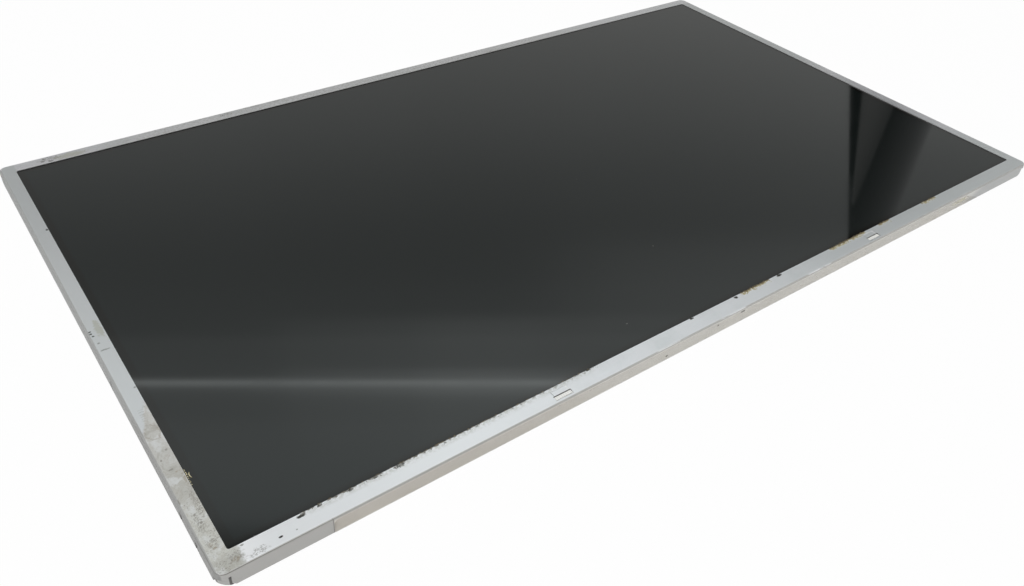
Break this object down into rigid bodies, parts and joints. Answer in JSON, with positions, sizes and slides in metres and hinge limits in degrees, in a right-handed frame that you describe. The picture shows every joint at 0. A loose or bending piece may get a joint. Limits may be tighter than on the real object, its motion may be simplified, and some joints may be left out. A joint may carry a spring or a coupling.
{
  "type": "laptop screen panel",
  "caption": "Flat LED-backlit laptop display module: dark glossy screen in a folded grey metal bezel, driver board under clear film at the back, tapped side brackets for hinge arms.",
  "frame": {"origin": "under the middle of the outline, on the plane that the back rests on", "axes": "+X along the long edges, +Y to the top edge of the picture, +Z out of the screen"},
  "size_m": [0.3592, 0.2094, 0.0052],
  "materials": {
    "bezel_metal": "matt bare sheet metal, soiled",
    "screen_face": "dark glossy polarizer",
    "cell_glass": "clear sheet glass",
    "polarizer_film": "smoke-grey film",
    "black_tape": "black tape",
    "white_plastic": "white moulded plastic",
    "optical_sheet": "milky optical sheet",
    "guide_acrylic": "clear acrylic",
    "reflector_white": "white reflecting sheet",
    "clear_tape": "double-sided tape",
    "flex_film": "amber flexible circuit",
    "led_body": "white package with yellow phosphor",
    "channel_metal": "bright sheet aluminium",
    "bracket_steel": "plated steel",
    "board_laminate": "green solder mask",
    "chip_resin": "black moulding resin",
    "ferrite": "dark ferrite",
    "capacitor_body": "fired ceramic with tinned ends",
    "socket_plastic": "pale moulded plastic",
    "socket_shell": "tinned steel",
    "contact_metal": "gold plated",
    "insulating_film": "clear yellowish film"
  },
  "bodies": {
    "root": {"front_bezel": "bezel_metal", "front_polarizer": "screen_face", "color_filter_glass": "cell_glass", "tft_glass": "cell_glass", "rear_polarizer": "polarizer_film", "rim_tape": "black_tape", "mould_frame": "white_plastic", "upper_diffuser_sheet": "optical_sheet", "upper_prism_sheet": "optical_sheet", "lower_prism_sheet": "optical_sheet", "lower_diffuser_sheet": "optical_sheet", "light_guide_plate": "guide_acrylic", "reflector_sheet": "reflector_white", "reflector_tape": "clear_tape", "led_packages": "led_body", "led_flex_strip": "flex_film", "led_channel": "channel_metal", "left_side_bracket": "bracket_steel", "right_side_bracket": "bracket_steel", "driver_board": "board_laminate", "board_tape": "clear_tape", "timing_controller_chip": "chip_resin", "memory_chip": "chip_resin", "power_chip": "chip_resin", "backlight_driver_chip": "chip_resin", "boost_inductor": "ferrite", "logic_inductor": "ferrite", "ceramic_capacitors": "capacitor_body", "connector_housing": "socket_plastic", "connector_shell": "socket_shell", "connector_contacts": "contact_metal", "backlight_socket": "socket_plastic", "board_cover_film": "insulating_film", "driver_film_1": "flex_film", "driver_chip_1": "chip_resin", "driver_film_2": "flex_film", "driver_chip_2": "chip_resin", "driver_film_3": "flex_film", "driver_chip_3": "chip_resin", "driver_film_4": "flex_film", "driver_chip_4": "chip_resin"}
  },
  "joints": []
}
